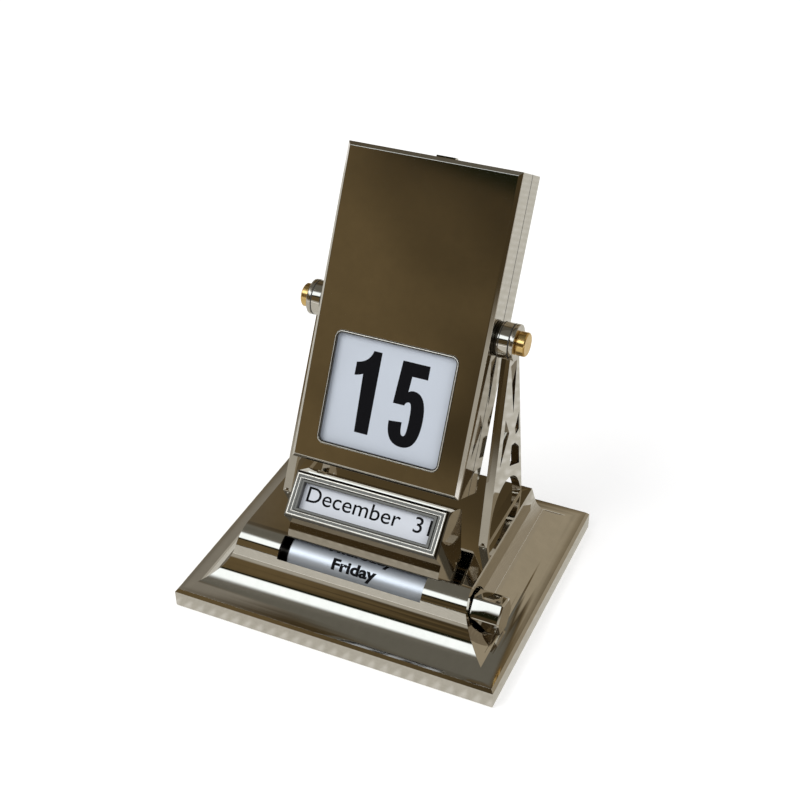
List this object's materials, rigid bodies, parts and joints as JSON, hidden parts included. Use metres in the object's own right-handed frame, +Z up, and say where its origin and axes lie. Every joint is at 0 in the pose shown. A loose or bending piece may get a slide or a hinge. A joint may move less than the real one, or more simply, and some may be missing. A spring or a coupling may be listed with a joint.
{
  "type": "perpetual desk calendar",
  "caption": "Flip-over perpetual desk calendar: a tall windowed case turns between pierced towers on a moulded base with a card holder and a weekday roller.",
  "frame": {"origin": "centre of the felt pad's underside, on the desk, with the base's outline centred on it", "axes": "+Z up; -Y is the front, where the windows face; +X is the side of the weekday knob"},
  "size_m": [0.105, 0.094, 0.1275],
  "materials": {
    "polished_nickel": "mirror-polished nickel plate on zinc casting and sheet",
    "plain_steel": "plain machined steel",
    "brass": "polished brass",
    "felt": "pressed felt",
    "drum_plastic": "moulded plastic, satin",
    "card_stock": "smooth uncoated card, printed black",
    "tile_plastic": "white plastic tile with a black printed number"
  },
  "bodies": {
    "base": {"base_casting": "polished_nickel", "bottom_plate": "plain_steel", "felt_pad": "felt", "base_screws": "plain_steel", "tower_left": "polished_nickel", "tower_right": "polished_nickel", "tower_nuts": "plain_steel", "pivot_bush_left": "brass", "pivot_bush_right": "brass", "month_holder": "polished_nickel", "month_frame": "polished_nickel", "month_card_stack": "card_stock", "month_holder_screws": "plain_steel", "roller_bush_left": "brass", "roller_bush_right": "brass"},
    "weekday_roller": {"weekday_drum": "drum_plastic", "weekday_label": "card_stock", "roller_shaft": "plain_steel", "weekday_knob": "polished_nickel", "roller_clip": "plain_steel"},
    "flip_case": {"case_front_shell": "polished_nickel", "case_rear_shell": "polished_nickel", "front_bezel": "polished_nickel", "rear_bezel": "polished_nickel", "pivot_pin_left": "plain_steel", "pivot_pin_right": "plain_steel", "brass_cap_left": "brass", "brass_cap_right": "brass", "outer_washer_left": "polished_nickel", "outer_washer_right": "polished_nickel", "inner_spacer_left": "polished_nickel", "inner_spacer_right": "polished_nickel", "tile_guide": "drum_plastic", "case_catch": "polished_nickel"},
    "date_tiles": {"date_tile": "tile_plastic", "tile_stack": "tile_plastic"},
    "month_card": {"month_card": "card_stock"}
  },
  "joints": [
    {"name": "case_flip", "type": "hinge", "parent": "base", "child": "flip_case", "pos_m": [0, 0.0202, 0.0813], "axis": [1, 0, 0], "continuous": true},
    {"name": "tile_slide", "type": "slide", "parent": "flip_case", "child": "date_tiles", "axis": [0, 0.4716, 0.8818], "range_m": [0, 0.052]},
    {"name": "weekday_roll", "type": "hinge", "parent": "base", "child": "weekday_roller", "pos_m": [0, -0.0218, 0.0149], "axis": [1, 0, 0], "continuous": true},
    {"name": "month_card_lift", "type": "slide", "parent": "base", "child": "month_card", "axis": [0, 0.7242, 0.6896], "range_m": [0, 0.004]}
  ]
}
